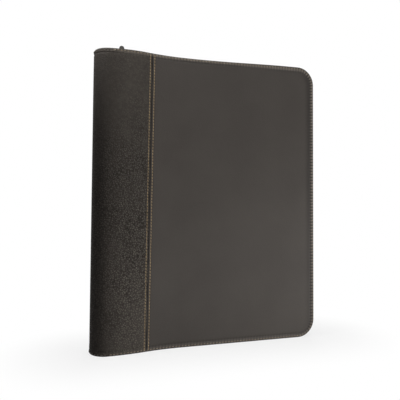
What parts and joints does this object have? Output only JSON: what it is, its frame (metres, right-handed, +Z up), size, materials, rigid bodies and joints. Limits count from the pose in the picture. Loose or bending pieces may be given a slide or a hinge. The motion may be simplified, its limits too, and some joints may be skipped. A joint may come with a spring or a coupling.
{
  "type": "zippered padfolio",
  "caption": "Upright zip-round padfolio: two padded leather covers folding on a rounded spine, with pockets, a pen loop, a sliding zipper and a writing pad in a sleeve.",
  "frame": {"origin": "under the middle of the closed case, on the surface that its lower edge stands on", "axes": "+X from the spine to the fore edge, -Y out of the front cover, +Z up along the spine"},
  "size_m": [0.279, 0.036, 0.3527],
  "materials": {
    "smooth_leather": "matte, fine grained, dark warm grey",
    "pebbled_leather": "pebbled, dark warm grey",
    "pocket_leather": "matte, smooth, dark warm grey",
    "lining_cloth": "plain woven, charcoal",
    "padding": "closed-cell foam",
    "grey_board": "plain grey board",
    "stiffener": "black sheet",
    "zipper_tape": "woven tape, black",
    "zipper_teeth": "moulded, black",
    "dark_metal": "gunmetal, satin",
    "writing_paper": "ruled, ivory",
    "pad_board": "grey-brown chipboard",
    "pad_tape": "dark binding tape",
    "clear_film": "clear"
  },
  "bodies": {
    "front_cover": {"front_cover_leather": "smooth_leather", "front_spine_strip": "pebbled_leather", "front_cover_foam": "padding", "front_cover_board": "grey_board", "front_cover_lining": "lining_cloth", "front_zipper_tape": "zipper_tape", "front_zipper_chain": "zipper_teeth", "front_zipper_stops": "dark_metal", "document_pocket": "pocket_leather", "document_pocket_gusset": "lining_cloth", "card_pocket_upper": "pocket_leather", "card_pocket_middle": "pocket_leather", "card_pocket_lower": "pocket_leather", "id_window_frame": "pocket_leather", "id_window_film": "clear_film"},
    "spine": {"spine_leather": "pebbled_leather", "spine_foam": "padding", "spine_stiffener": "stiffener", "spine_lining": "lining_cloth"},
    "back_cover": {"back_cover_leather": "smooth_leather", "back_spine_strip": "pebbled_leather", "back_cover_foam": "padding", "back_cover_board": "grey_board", "back_cover_lining": "lining_cloth", "back_zipper_tape": "zipper_tape", "back_zipper_chain": "zipper_teeth", "back_zipper_stops": "dark_metal", "pad_sleeve": "pocket_leather", "pad_sleeve_gusset": "lining_cloth", "pen_loop": "pocket_leather"},
    "slider": {"zipper_slider": "dark_metal", "slider_crown": "dark_metal"},
    "pull": {"zipper_pull": "dark_metal"},
    "pad": {"pad_backing": "pad_board", "pad_sheets": "writing_paper", "pad_binding": "pad_tape"}
  },
  "joints": [
    {"name": "spine_fold", "type": "hinge", "parent": "back_cover", "child": "spine", "pos_m": [-0.1215, 0.018, 0.1715], "axis": [0, 0, -1], "range_deg": [0, 90]},
    {"name": "front_fold", "type": "hinge", "parent": "spine", "child": "front_cover", "pos_m": [-0.1215, -0.018, 0.1715], "axis": [0, 0, -1], "range_deg": [0, 90]},
    {"name": "zipper_slide", "type": "slide", "parent": "back_cover", "child": "slider", "axis": [1, 0, 0], "range_m": [0, 0.212]},
    {"name": "pull_swing", "type": "hinge", "parent": "slider", "child": "pull", "pos_m": [-0.1075, 0.0045, 0.3452], "axis": [0, -1, 0], "range_deg": [0, 180]},
    {"name": "pad_slide", "type": "slide", "parent": "back_cover", "child": "pad", "axis": [0, 0, 1], "range_m": [0, 0.036]}
  ],
  "couplings": [
    {"joint": "front_fold", "follows": "spine_fold", "ratio": 1}
  ]
}
